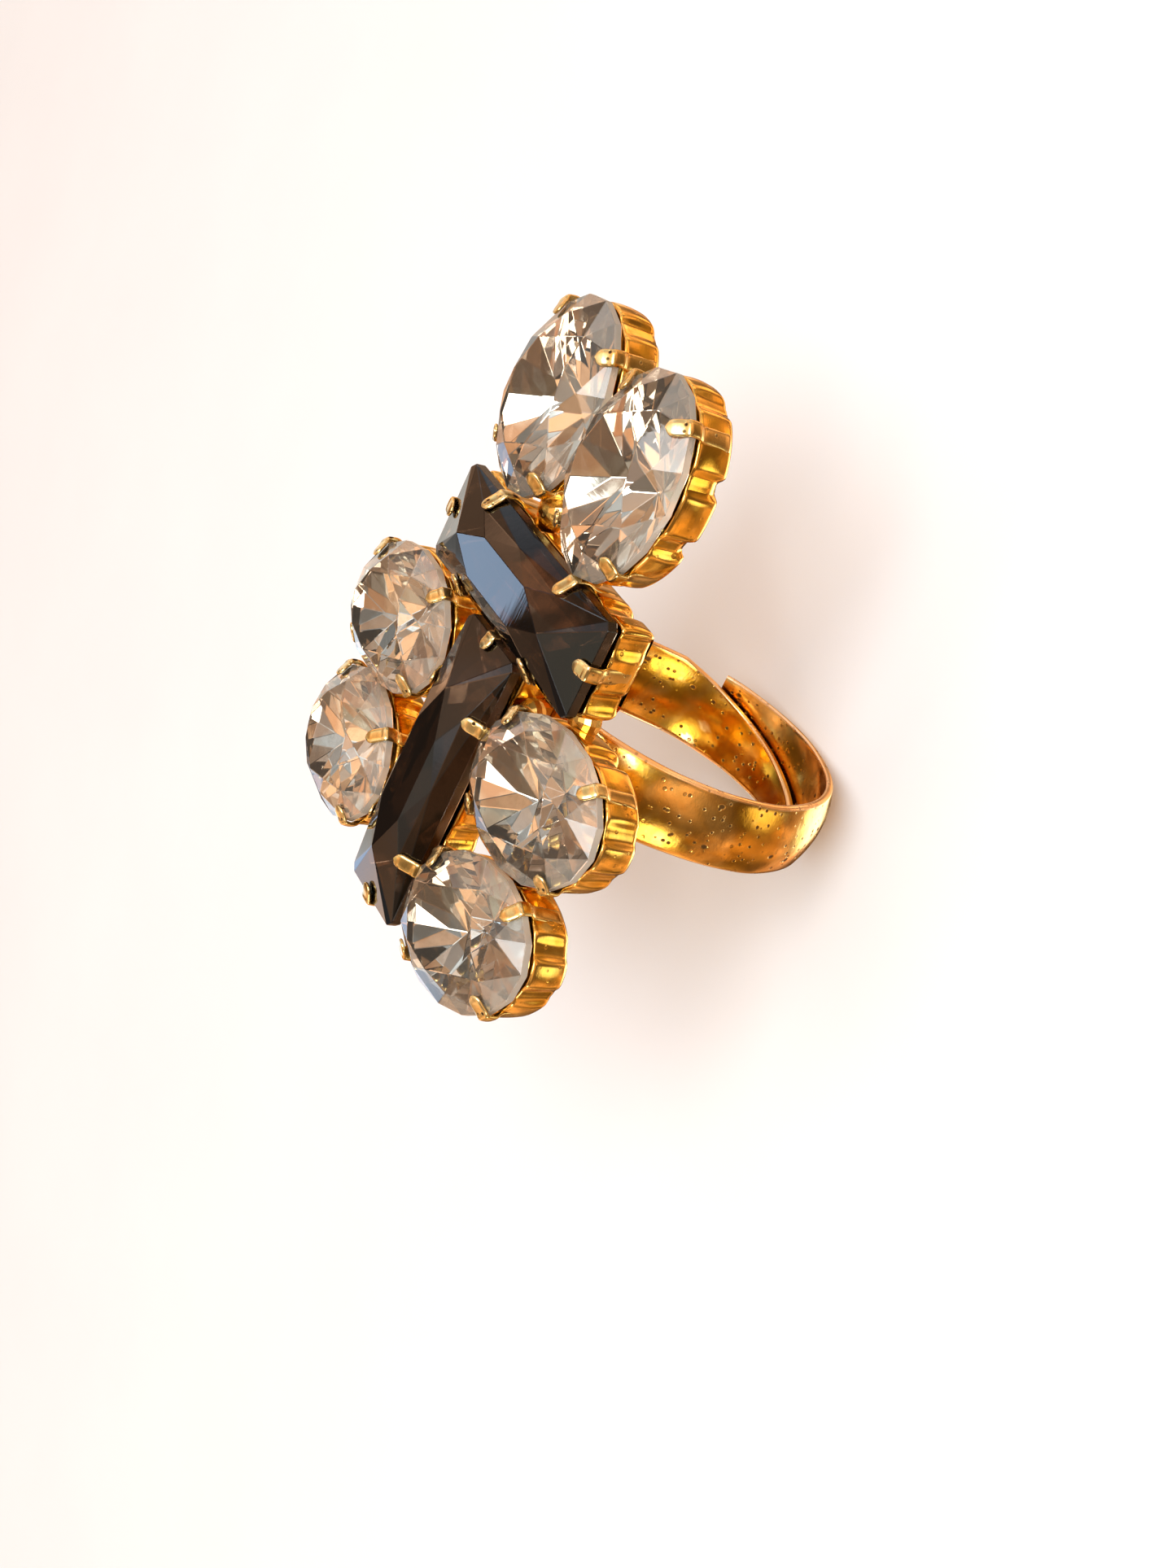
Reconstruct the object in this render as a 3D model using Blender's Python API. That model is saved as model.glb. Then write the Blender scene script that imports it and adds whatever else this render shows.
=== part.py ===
"""Adjustable cocktail ring: eight pronged crystals soldered cup to cup on an overlapping shank.

Frame: origin at the centre of the finger hole, +Y along the finger towards the paired ovals,
+Z out of the face of the head, +X to the right when facing the head. Lengths are in
millimetres and angles in degrees until they enter a mesh, where MM turns them into metres.
"""
import math

import bmesh
import bpy
from mathutils import Matrix, Vector

MM = 0.001

# Clear oval crystals
OVAL_LENGTH = 14.0
OVAL_WIDTH = 10.0
OVAL_CROWN = 1.9
OVAL_PAVILION = 3.0
OVAL_GIRDLE = 0.5
OVAL_TABLE_RATIO = 0.56
OVAL_STAR_RATIO = 0.76
OVAL_LOWER_RATIO = 0.26

# Smoky rectangular crystals
BAR_LENGTH = 21.0
BAR_WIDTH = 7.0
BAR_CROWN = 1.7
BAR_PAVILION = 2.8
BAR_GIRDLE = 0.7
BAR_CORNER = 0.45
BAR_TABLE_END = 4.2
BAR_TABLE_SHOULDER = 7.4
BAR_TABLE_HALF_WIDTH = 1.45
BAR_STEP_IN = 1.1
BAR_STEP_UP = 1.05
BAR_STEP_END = 5.0
BAR_KEEL_END = 4.5
BAR_LOWER_IN = 1.3
BAR_LOWER_DROP = 1.3
BAR_LOWER_END = 6.5

# Stamped cups
CUP_WALL = 0.30
CULET_GAP = 0.30
CUP_INSET = 0.15
CUP_TAPER = 0.20
CUP_EDGE = 0.85
CUP_SEAT_GAP = 0.10
CUP_BAR_CORNER = 0.80
CHANNEL_RADIUS = 0.45
CHANNEL_FROM_MIDDLE = 2.2
BAR_CHANNEL_FROM_MIDDLE = 7.6

# Prongs, which are strips of the cup's own metal
PRONG_WIDTH = 1.05
PRONG_THICKNESS = 0.30
PRONG_GAP = 0.08
PRONG_OVERLAP = 0.95
PRONG_FOOT = 0.55
OVAL_PRONG_ANGLE = 45.0
BAR_PRONG_FROM_MIDDLE = 5.4

# Layout of the head
GAP_PAIR = 0.25
GAP_LOW = 0.25
PRONG_TO_UPPER = 0.07
PRONG_TO_STEM = 0.04
PRONG_TO_SIDE = 0.07
PRONG_TO_MID = 0.12

# Shank: one domed strip bent to a loop, its ends lapped
HOLE_HALF_WIDTH = 10.95
HOLE_HALF_HEIGHT = 11.45
SHANK_WIDTH = 6.0
SHANK_THICKNESS = 0.55
SHANK_DOME = 0.70
SHANK_LAP_GAP = 0.35
SHANK_LEAN = 2.9
OUTER_ARM_START = 118.0
OUTER_ARM_END = -131.0
INNER_ARM_START = 120.0
INNER_ARM_END = 298.0
LAP_STEP_END = 205.0
SLANT_START = 212.0
TIP_WIDTH = 1.1
HEAD_SHIFT_X = -0.3
HEAD_SHIFT_Y = 9.45

# Solder
PAD_HALF_LENGTH = 2.4
PAD_HALF_WIDTH = 2.0
PAD_THICKNESS = 0.25
SOLDER_GAP = 0.06
SOLDER_HEIGHT = 1.9
SOLDER_RADIUS = 0.62

OVAL_SEGMENTS = 32
CORNER_SEGMENTS = 4
ARM_STEP = 5.0
ARM_SEGMENTS = 6

# Shades, as linear colour, roughness and metallic value
GILT = ("gilt_brass", (0.83, 0.50, 0.13), 0.30, 1.0)
SOLDER = ("solder", (0.78, 0.47, 0.14), 0.42, 1.0)
CLEAR = ("clear_crystal", (0.93, 0.93, 0.92), 0.03, 0.0)
SMOKY = ("smoky_crystal", (0.10, 0.07, 0.06), 0.05, 0.0)

# Every cup is as deep as the deepest crystal needs
OVAL_DEPTH = OVAL_GIRDLE / 2 + OVAL_PAVILION
BAR_DEPTH = BAR_GIRDLE / 2 + BAR_PAVILION
CUP_DEPTH = max(OVAL_DEPTH, BAR_DEPTH) + CULET_GAP + CUP_WALL

PRONG_STANDS_OUT = PRONG_GAP + PRONG_THICKNESS
GAP_UPPER = PRONG_STANDS_OUT + PRONG_TO_UPPER
GAP_STEM = PRONG_STANDS_OUT + PRONG_TO_STEM
GAP_SIDE = PRONG_STANDS_OUT + PRONG_TO_SIDE
GAP_MID = PRONG_STANDS_OUT + PRONG_TO_MID

SHANK_TOP = HOLE_HALF_HEIGHT + SHANK_THICKNESS
LEAN = math.radians(SHANK_LEAN)
FACE_HEIGHT = SHANK_TOP / math.cos(LEAN) + PAD_THICKNESS + 2 * SOLDER_GAP + CUP_DEPTH
STEM_Y = -(BAR_WIDTH / 2 + GAP_STEM + BAR_LENGTH / 2)
PAIR_X = OVAL_WIDTH / 2 + GAP_PAIR / 2
PAIR_Y = BAR_WIDTH / 2 + GAP_UPPER + OVAL_LENGTH / 2
SIDE_X = BAR_WIDTH / 2 + GAP_SIDE + OVAL_LENGTH / 2
MID_Y = -(BAR_WIDTH / 2 + GAP_MID + OVAL_WIDTH / 2)
LOW_Y = MID_Y - OVAL_WIDTH - GAP_LOW

# name: (cut, x, y, z, turn about the normal, tip about X, tip about Y). The small turns and
# tips are how a hand soldered the cups.
SETTINGS = {
    "crossbar": ("bar", 0.0, 0.0, 0.0, 0.0, 0.0, 0.0),
    "stem": ("bar", 0.0, STEM_Y, 0.0, 90.0, 0.0, 0.0),
    "upper_left": ("oval", -PAIR_X, PAIR_Y + 0.10, 0.0, 86.0, -1.0, 1.0),
    "upper_right": ("oval", PAIR_X, PAIR_Y - 0.10, 0.1, 91.0, -3.0, 3.0),
    "mid_left": ("oval", -SIDE_X, MID_Y, 0.1, 8.0, 1.0, -3.0),
    "low_left": ("oval", -SIDE_X + 0.10, LOW_Y, -0.3, 1.0, -2.0, -8.0),
    "mid_right": ("oval", SIDE_X, MID_Y, 0.0, 4.0, -4.0, 3.0),
    "low_right": ("oval", SIDE_X - 0.10, LOW_Y - 0.20, 0.2, 15.0, -3.0, 2.0),
}

# Cups that are soldered to each other, and the bearing of the bead from the first one's centre,
# counted from +X towards +Y
SEAMS = (
    ("upper_left", "upper_right", 0.0),
    ("upper_left", "crossbar", -74.0),
    ("upper_right", "crossbar", -106.0),
    ("mid_left", "crossbar", 65.0),
    ("mid_right", "crossbar", 115.0),
    ("stem", "crossbar", 79.0),
    ("mid_left", "stem", 21.0),
    ("mid_right", "stem", 163.5),
    ("low_left", "stem", 21.0),
    ("low_right", "stem", 196.5),
    ("mid_left", "low_left", -90.0),
    ("mid_right", "low_right", -90.0),
)


def turned(degrees, axis):
    return Matrix.Rotation(math.radians(degrees), 4, axis)


def eased(value, start, end):
    """0 before start, 1 after end and smooth between."""
    share = min(max((value - start) / (end - start), 0.0), 1.0)
    return share * share * (3.0 - 2.0 * share)


def place_of(name):
    """Where a setting's own frame sits: its origin is the middle of the stone's girdle."""
    _, x, y, z, turn, tip_x, tip_y = SETTINGS[name]
    head = Vector((HEAD_SHIFT_X + x, HEAD_SHIFT_Y + y, FACE_HEIGHT + z)) * MM
    return Matrix.Translation(head) @ turned(tip_y, "Y") @ turned(tip_x, "X") @ turned(turn, "Z")


# ---- meshes ----


def make_mesh(name, points, faces):
    """A mesh in metres from points in millimetres, with every face turned outwards."""
    mesh = bpy.data.meshes.new(name)
    mesh.from_pydata([Vector(point) * MM for point in points], [], faces)
    body = bmesh.new()
    body.from_mesh(mesh)
    bmesh.ops.recalc_face_normals(body, faces=body.faces)
    body.to_mesh(mesh)
    body.free()
    return mesh


def loft(name, rings):
    """A closed body through rings with the same number of points, capped at both ends."""
    count = len(rings[0])
    points = [point for ring in rings for point in ring]
    faces = []
    for row in range(len(rings) - 1):
        for k in range(count):
            a = row * count + k
            b = row * count + (k + 1) % count
            faces.append((a, b, b + count, a + count))
    faces.append(tuple(range(count)))
    faces.append(tuple(range(len(points) - count, len(points))))
    return make_mesh(name, points, faces)


def hull(name, points):
    """The convex body around the points, with one face for each flat facet."""
    body = bmesh.new()
    for point in points:
        body.verts.new(Vector(point) * MM)
    found = bmesh.ops.convex_hull(body, input=body.verts)
    inside = [item for item in found["geom_interior"] if isinstance(item, bmesh.types.BMVert)]
    bmesh.ops.delete(body, geom=inside, context="VERTS")
    flat = math.radians(0.2)
    bmesh.ops.dissolve_limit(body, angle_limit=flat, verts=body.verts, edges=body.edges)
    bmesh.ops.recalc_face_normals(body, faces=body.faces)
    mesh = bpy.data.meshes.new(name)
    body.to_mesh(mesh)
    body.free()
    return mesh


def add_object(name, mesh, matrix):
    thing = bpy.data.objects.new(name, mesh)
    bpy.context.scene.collection.objects.link(thing)
    thing.matrix_world = matrix
    return thing


def combined(mesh, steps):
    """The mesh after a row of Boolean steps, each an operation and the mesh it uses."""
    thing = add_object("work", mesh, Matrix.Identity(4))
    cutters = []
    for operation, other in steps:
        cutter = add_object("cutter", other, Matrix.Identity(4))
        step = thing.modifiers.new(operation.lower(), "BOOLEAN")
        step.operation = operation
        step.solver = "EXACT"
        step.object = cutter
        cutters.append(cutter)
    bpy.context.view_layer.update()
    evaluated = thing.evaluated_get(bpy.context.evaluated_depsgraph_get())
    result = bpy.data.meshes.new_from_object(evaluated)
    for used in [thing] + cutters:
        bpy.data.objects.remove(used, do_unlink=True)
    return result


def joined(meshes):
    """Several closed bodies in one mesh, to serve as one Boolean operand."""
    body = bmesh.new()
    for mesh in meshes:
        body.from_mesh(mesh)
    result = bpy.data.meshes.new("joined")
    body.to_mesh(result)
    body.free()
    return result


# ---- materials ----


def make_material(shade):
    name, colour, roughness, metallic = shade
    material = bpy.data.materials.new(name)
    material.use_nodes = True
    shader = material.node_tree.nodes["Principled BSDF"]
    shader.inputs["Base Color"].default_value = (*colour, 1.0)
    shader.inputs["Roughness"].default_value = roughness
    shader.inputs["Metallic"].default_value = metallic
    material.diffuse_color = (*colour, 1.0)
    return material


def finish(thing, material, smooth):
    """Gives an object its own copy of the material, and shades its round surfaces smooth."""
    own = material.copy()
    own.name = thing.name
    thing.data.materials.clear()
    thing.data.materials.append(own)
    if smooth:
        thing.data.shade_smooth()
        thing.data.set_sharp_from_angle(angle=math.radians(35))


# ---- stones ----


def oval_stone():
    """Oval brilliant: table, 8 stars, 8 kites and 16 upper facets over 8 mains and 16 lower facets."""
    half_step = math.cos(math.pi / 8)
    top = OVAL_GIRDLE / 2
    kite_rise = OVAL_CROWN / (1.0 - OVAL_TABLE_RATIO)
    star_height = top + kite_rise * (1.0 - OVAL_STAR_RATIO * half_step)
    lower_height = -top - OVAL_PAVILION * (1.0 - OVAL_LOWER_RATIO * half_step)

    def ring(count, offset, ratio, height):
        angles = [2 * math.pi * (k + offset) / count for k in range(count)]
        a = ratio * OVAL_LENGTH / 2
        b = ratio * OVAL_WIDTH / 2
        return [(a * math.cos(t), b * math.sin(t), height) for t in angles]

    table = ring(8, 0.0, OVAL_TABLE_RATIO, top + OVAL_CROWN)
    stars = ring(8, 0.5, OVAL_STAR_RATIO, star_height)
    upper = ring(16, 0.0, 1.0, top)
    lower = ring(16, 0.0, 1.0, -top)
    mains = ring(8, 0.5, OVAL_LOWER_RATIO, lower_height)
    culet = [(0.0, 0.0, -top - OVAL_PAVILION)]
    points = table + stars + upper + lower + mains + culet
    first = {"table": 0, "star": 8, "upper": 16, "lower": 32, "main": 48, "culet": 56}

    def at(kind, k):
        size = 16 if kind in ("upper", "lower") else 8
        return first[kind] + k % size

    faces = [tuple(range(8))]
    for k in range(8):
        g = 2 * k
        faces.append((at("table", k), at("table", k + 1), at("star", k)))
        faces.append((at("table", k), at("star", k - 1), at("upper", g), at("star", k)))
        faces.append((at("star", k), at("upper", g), at("upper", g + 1)))
        faces.append((at("star", k), at("upper", g + 1), at("upper", g + 2)))
        faces.append((at("main", k), at("lower", g), at("lower", g + 1)))
        faces.append((at("main", k), at("lower", g + 1), at("lower", g + 2)))
        faces.append((first["culet"], at("main", k - 1), at("lower", g), at("main", k)))
    for k in range(16):
        faces.append((at("upper", k), at("upper", k + 1), at("lower", k + 1), at("lower", k)))
    return make_mesh("oval_stone", points, faces)


def bar_stone():
    """Long rectangular stone: a pointed table, zigzag side facets, and a keel underneath."""
    a = BAR_LENGTH / 2
    b = BAR_WIDTH / 2
    top = BAR_GIRDLE / 2
    points = []
    for sx in (-1, 1):
        for z in (top, -top):
            for sy in (-1, 1):
                points.append((sx * (a - BAR_CORNER), sy * b, z))
                points.append((sx * a, sy * (b - BAR_CORNER), z))
        points.append((sx * (a - BAR_TABLE_END), 0.0, top + BAR_CROWN))
        points.append((sx * (a - BAR_KEEL_END), 0.0, -top - BAR_PAVILION))
        for sy in (-1, 1):
            shoulder = sx * (a - BAR_TABLE_SHOULDER)
            points.append((shoulder, sy * BAR_TABLE_HALF_WIDTH, top + BAR_CROWN))
            points.append((sx * (a - BAR_STEP_END), sy * (b - BAR_STEP_IN), top + BAR_STEP_UP))
            lower = b - BAR_LOWER_IN
            points.append((sx * (a - BAR_LOWER_END), sy * lower, -top - BAR_LOWER_DROP))
    for sy in (-1, 1):
        points.append((0.0, sy * (b - BAR_STEP_IN * 0.85), top + BAR_STEP_UP))
    return hull("bar_stone", points)


# ---- cups ----


def oval_outline(inset):
    a = OVAL_LENGTH / 2
    b = OVAL_WIDTH / 2
    points = []
    for k in range(OVAL_SEGMENTS):
        t = 2 * math.pi * k / OVAL_SEGMENTS
        normal = Vector((math.cos(t) / a, math.sin(t) / b)).normalized()
        points.append((a * math.cos(t) - inset * normal.x, b * math.sin(t) - inset * normal.y))
    return points


def bar_outline(inset):
    radius = max(CUP_BAR_CORNER - inset, 0.25)
    a = BAR_LENGTH / 2 - inset - radius
    b = BAR_WIDTH / 2 - inset - radius
    points = []
    for quarter, (sx, sy) in enumerate(((1, 1), (-1, 1), (-1, -1), (1, -1))):
        for k in range(CORNER_SEGMENTS + 1):
            t = math.radians(90.0 * (quarter + k / CORNER_SEGMENTS))
            points.append((sx * a + radius * math.cos(t), sy * b + radius * math.sin(t)))
    return points


OUTLINES = {"oval": oval_outline, "bar": bar_outline}
LOWER_SLOPE = {"oval": OVAL_PAVILION / (OVAL_WIDTH / 2), "bar": BAR_LOWER_DROP / BAR_LOWER_IN}
GIRDLES = {"oval": OVAL_GIRDLE, "bar": BAR_GIRDLE}


def rim_height(cut):
    """The cup's rim, just under the stone where the cup's inner edge meets the pavilion."""
    inner_edge = CUP_INSET + CUP_WALL
    return -GIRDLES[cut] / 2 - LOWER_SLOPE[cut] * inner_edge - CUP_SEAT_GAP


def level(cut, inset, height):
    return [(x, y, height) for x, y in OUTLINES[cut](inset)]


def edge_levels(cut, radius):
    """Rings round the cup's base edge, whose centre line both skins of the sheet share."""
    middle = CUP_INSET + CUP_TAPER + CUP_EDGE
    rings = []
    for degrees in (0, 30, 60, 90):
        t = math.radians(degrees)
        height = -CUP_DEPTH + CUP_EDGE - radius * math.cos(t)
        rings.append(level(cut, middle - radius * math.sin(t), height))
    return rings


def cup_bowl(cut):
    rim = rim_height(cut)
    outside = edge_levels(cut, CUP_EDGE) + [level(cut, CUP_INSET, rim)]
    inside = edge_levels(cut, CUP_EDGE - CUP_WALL) + [level(cut, CUP_INSET + CUP_WALL, rim)]
    return loft("bowl", outside + inside[::-1]), loft("form", outside)


def channel_places(cut):
    reach = CHANNEL_FROM_MIDDLE if cut == "oval" else BAR_CHANNEL_FROM_MIDDLE
    return (-reach, reach)


def channel(x, radius, low, half_length):
    """A half-round bar across the cup along Y, standing on the height low."""
    profile = []
    for degrees in range(0, 181, 30):
        t = math.radians(degrees)
        height = max(-CUP_DEPTH + radius * math.sin(t), low)
        profile.append((x + radius * math.cos(t), height))
    return loft("channel", [[(px, y, pz) for px, pz in profile] for y in (-half_length, half_length)])


def prong_feet(cut):
    """Each prong's place on the stone's edge, its outward direction and the crown's slope there."""
    if cut == "oval":
        a = OVAL_LENGTH / 2
        b = OVAL_WIDTH / 2
        feet = []
        for quarter in range(4):
            t = math.radians(OVAL_PRONG_ANGLE if quarter % 2 == 0 else 180 - OVAL_PRONG_ANGLE)
            t += math.pi * (quarter // 2)
            steep = Vector((math.cos(t) / a, math.sin(t) / b, 0.0))
            slope = steep.length * OVAL_CROWN / (1.0 - OVAL_TABLE_RATIO)
            feet.append((Vector((a * math.cos(t), b * math.sin(t), 0.0)), steep.normalized(), slope))
        return feet
    side_slope = BAR_STEP_UP / BAR_STEP_IN
    end_slope = BAR_CROWN / BAR_TABLE_END
    feet = []
    for sign in (-1, 1):
        for x in (-BAR_PRONG_FROM_MIDDLE, BAR_PRONG_FROM_MIDDLE):
            feet.append((Vector((x, sign * BAR_WIDTH / 2, 0)), Vector((0, sign, 0)), side_slope))
        feet.append((Vector((sign * BAR_LENGTH / 2, 0, 0)), Vector((sign, 0, 0)), end_slope))
    return feet


def prong_path(cut, slope):
    """The strip's middle as (outward, up) pairs: up the wall, round the girdle, over the crown."""
    top = GIRDLES[cut] / 2
    lift = PRONG_GAP + PRONG_THICKNESS / 2
    sunk = PRONG_THICKNESS / 2 - 0.1
    over = lift * math.sqrt(1.0 + slope * slope)
    corner = lift * 0.85
    return [
        (sunk - CUP_INSET - CUP_TAPER, -CUP_DEPTH + PRONG_FOOT + CUP_EDGE / 2),
        (sunk - CUP_INSET, rim_height(cut) - 0.1),
        (lift, -top - 0.05),
        (lift, top),
        (corner, top + corner),
        (-0.1, top + 0.1 * slope + over),
        (-0.7 * PRONG_OVERLAP, top + 0.7 * PRONG_OVERLAP * slope + over),
        (-PRONG_OVERLAP, top + PRONG_OVERLAP * slope + over),
    ]


def prong(cut, foot, outward, slope, grow=0.0):
    """One strip, narrowed to a round tip, or the room that it needs when grow is a clearance."""
    path = [Vector(step) for step in prong_path(cut, slope)]
    across = Vector((-outward.y, outward.x, 0.0))
    widths = [1.0] * (len(path) - 2) + [0.92, 0.45]
    rings = []
    for k, (middle, share) in enumerate(zip(path, widths)):
        along = (path[min(k + 1, len(path) - 1)] - path[max(k - 1, 0)]).normalized()
        face = Vector((along.y, -along.x)) * (PRONG_THICKNESS / 2 + grow)
        ring = []
        for side, skin in ((-1, -1), (-1, 1), (1, 1), (1, -1)):
            point = middle + face * skin
            shift = across * (side * (share * PRONG_WIDTH / 2 + grow))
            ring.append(tuple(foot + outward * point.x + Vector((0, 0, point.y)) + shift))
        rings.append(ring)
    return loft("prong", rings)


def cup(cut):
    """A stamped cup: a thin bowl with two thread channels pressed into its back, and its prongs."""
    bowl, form = cup_bowl(cut)
    half = BAR_WIDTH if cut == "bar" else OVAL_WIDTH
    low = -CUP_DEPTH + CUP_WALL / 3
    ridges = [channel(x, CHANNEL_RADIUS + CUP_WALL, low, half) for x in channel_places(cut)]
    grooves = [channel(x, CHANNEL_RADIUS, -CUP_DEPTH - 1.0, half) for x in channel_places(cut)]
    prongs = [prong(cut, *foot) for foot in prong_feet(cut)]
    ridges = combined(joined(ridges), [("INTERSECT", form)])
    return combined(bowl, [("UNION", ridges), ("UNION", joined(prongs)), ("DIFFERENCE", joined(grooves))])


# ---- shank ----


def shank_point(theta, y, rise, inward):
    """A point on the strip: rise is its height over the strip's inner skin at the rims."""
    t = math.radians(theta)
    flat_top = eased(abs(((theta + 90.0) % 360.0) - 180.0), 14.0, 40.0)
    dome = SHANK_DOME * flat_top * (1.0 - (2.0 * y / SHANK_WIDTH) ** 2)
    out = rise + dome - inward
    return Vector(((HOLE_HALF_WIDTH + out) * math.cos(t), y, (HOLE_HALF_HEIGHT + out) * math.sin(t)))


def arm(name, start, end, inward, top_edge):
    """One arm of the strip from bearing start to end; inward and top_edge are functions of it."""
    steps = max(2, round(abs(end - start) / ARM_STEP))
    rings = []
    for k in range(steps + 1):
        theta = start + (end - start) * k / steps
        low = -SHANK_WIDTH / 2
        spread = [low + (top_edge(theta) - low) * j / ARM_SEGMENTS for j in range(ARM_SEGMENTS + 1)]
        outside = [shank_point(theta, y, SHANK_THICKNESS, inward(theta)) for y in spread]
        inside = [shank_point(theta, y, 0.0, inward(theta)) for y in reversed(spread)]
        rings.append(outside + inside)
    return loft(name, rings)


def outer_arm():
    return arm(
        "outer_arm",
        OUTER_ARM_START,
        OUTER_ARM_END,
        lambda theta: 0.0,
        lambda theta: SHANK_WIDTH / 2,
    )


def inner_arm():
    lap = SHANK_THICKNESS + SHANK_LAP_GAP
    drop = SHANK_WIDTH - TIP_WIDTH
    return arm(
        "inner_arm",
        INNER_ARM_START,
        INNER_ARM_END,
        lambda theta: lap * eased(theta, INNER_ARM_START, LAP_STEP_END),
        lambda theta: SHANK_WIDTH / 2
        - drop * max(0.0, (theta - SLANT_START) / (INNER_ARM_END - SLANT_START)),
    )


def hinge_point():
    """Where the strip leaves the head and bends when the ring is sized."""
    t = math.radians((OUTER_ARM_START + INNER_ARM_START) / 2)
    middle = SHANK_THICKNESS / 2
    return Vector(((HOLE_HALF_WIDTH + middle) * math.cos(t), 0, (HOLE_HALF_HEIGHT + middle) * math.sin(t)))


# ---- solder ----


def wall_outline(name):
    """A cup's wall at mid height, as points of the head's plane."""
    cut = SETTINGS[name][0]
    matrix = place_of(name)
    ring = level(cut, CUP_INSET + CUP_TAPER / 2, -CUP_DEPTH / 2 - 0.3)
    return [(matrix @ (Vector(point) * MM)) / MM for point in ring]


def split_edges(points):
    """The outline with each of its edges cut into short ones."""
    dense = []
    for here, after in zip(points, points[1:] + points[:1]):
        pieces = max(1, math.ceil((after - here).length / 0.25))
        dense += [here.lerp(after, k / pieces) for k in range(pieces)]
    return dense


def seam(first, second, bearing):
    """The middle and the span of the gap that a bead fills."""
    centre = place_of(first).translation / MM
    aim = Vector((math.cos(math.radians(bearing)), math.sin(math.radians(bearing))))
    near = max(split_edges(wall_outline(first)), key=lambda p: (p - centre).xy.normalized().dot(aim))
    far = min(split_edges(wall_outline(second)), key=lambda p: (p - near).length)
    return (near + far) / 2, (near - far).length


def keep_out(name):
    """A cup's outer form and prongs grown by the solder's clearance, to cut the beads with."""
    cut = SETTINGS[name][0]
    foot = CUP_INSET + CUP_TAPER - SOLDER_GAP
    rim = CUP_INSET - SOLDER_GAP
    rings = [
        level(cut, foot, -CUP_DEPTH - 0.5),
        level(cut, foot, -CUP_DEPTH + CUP_EDGE),
        level(cut, rim, rim_height(cut)),
        level(cut, rim, rim_height(cut) + 1.5),
    ]
    form = loft("keep_out", rings)
    form.transform(place_of(name))
    prongs = joined([prong(cut, *foot, grow=SOLDER_GAP) for foot in prong_feet(cut)])
    prongs.transform(place_of(name))
    return [("DIFFERENCE", form), ("DIFFERENCE", prongs)]


def bead(first, second, bearing):
    """A solder fillet: a ball in the gap, cut back to both walls."""
    middle, span = seam(first, second, bearing)
    body = bmesh.new()
    bmesh.ops.create_uvsphere(body, u_segments=14, v_segments=8, radius=MM)
    radius = span / 2 + SOLDER_RADIUS
    bmesh.ops.scale(body, vec=(radius, radius, SOLDER_HEIGHT / 2), verts=body.verts)
    bmesh.ops.translate(body, vec=middle * MM, verts=body.verts)
    mesh = bpy.data.meshes.new("bead")
    body.to_mesh(mesh)
    body.free()
    return combined(mesh, keep_out(first) + keep_out(second))


def shank_pad():
    """The solder between the strip's flattened top and the stem cup's back."""
    middle = SHANK_TOP * math.sin(LEAN)
    ceiling = FACE_HEIGHT - CUP_DEPTH - SOLDER_GAP
    rings = []
    for k in range(13):
        x = PAD_HALF_LENGTH * (k / 6 - 1)
        across = math.sqrt(1.0 - (x / (HOLE_HALF_WIDTH + SHANK_THICKNESS)) ** 2)
        strip = (SHANK_TOP * across + SOLDER_GAP) / math.cos(LEAN)
        ring = []
        for y in (middle - PAD_HALF_WIDTH, middle + PAD_HALF_WIDTH):
            ring.append((x, y, strip - y * math.tan(LEAN)))
        rings.append(ring + [(x, y, ceiling) for y in (middle + PAD_HALF_WIDTH, middle - PAD_HALF_WIDTH)])
    return loft("pad", rings)


# ---- assembly ----


def build():
    for thing in list(bpy.data.objects):
        bpy.data.objects.remove(thing, do_unlink=True)
    gilt, solder, clear, smoky = (make_material(shade) for shade in (GILT, SOLDER, CLEAR, SMOKY))
    stones = {"oval": oval_stone(), "bar": bar_stone()}
    cups = {"oval": cup("oval"), "bar": cup("bar")}
    for name, (cut, *_) in SETTINGS.items():
        matrix = place_of(name)
        stone = add_object(name + "_stone", stones[cut].copy(), matrix)
        finish(stone, clear if cut == "oval" else smoky, False)
        finish(add_object(name + "_cup", cups[cut].copy(), matrix), gilt, True)
    for first, second, bearing in SEAMS:
        thing = add_object(f"solder_{first}_{second}", bead(first, second, bearing), Matrix.Identity(4))
        finish(thing, solder, True)
    lean = turned(-SHANK_LEAN, "X")
    finish(add_object("solder_shank_pad", shank_pad(), Matrix.Identity(4)), solder, True)
    finish(add_object("shank_outer_arm", outer_arm(), lean), gilt, True)
    moving = inner_arm()
    moving.transform(Matrix.Translation(-hinge_point() * MM))
    hinge = lean @ Matrix.Translation(hinge_point() * MM)
    finish(add_object("shank_inner_arm", moving, hinge), gilt, True)


build()
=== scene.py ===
"""Looks of the adjustable cocktail ring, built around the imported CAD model.

Lengths are in millimetres and angles in degrees until they enter a mesh, where MM turns them
into metres. The head's own plane is the girdle plane of the flat-lying crystals.
"""
import math
import random

import bmesh
import bpy
from mathutils import Matrix, Vector, noise


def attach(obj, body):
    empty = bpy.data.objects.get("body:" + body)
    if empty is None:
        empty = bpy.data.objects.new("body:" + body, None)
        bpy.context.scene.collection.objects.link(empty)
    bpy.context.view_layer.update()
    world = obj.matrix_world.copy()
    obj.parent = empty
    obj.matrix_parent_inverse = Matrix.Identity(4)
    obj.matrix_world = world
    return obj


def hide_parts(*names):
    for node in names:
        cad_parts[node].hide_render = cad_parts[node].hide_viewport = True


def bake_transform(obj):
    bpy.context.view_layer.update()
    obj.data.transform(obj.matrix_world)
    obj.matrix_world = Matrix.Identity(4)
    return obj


MM = 0.001

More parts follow.
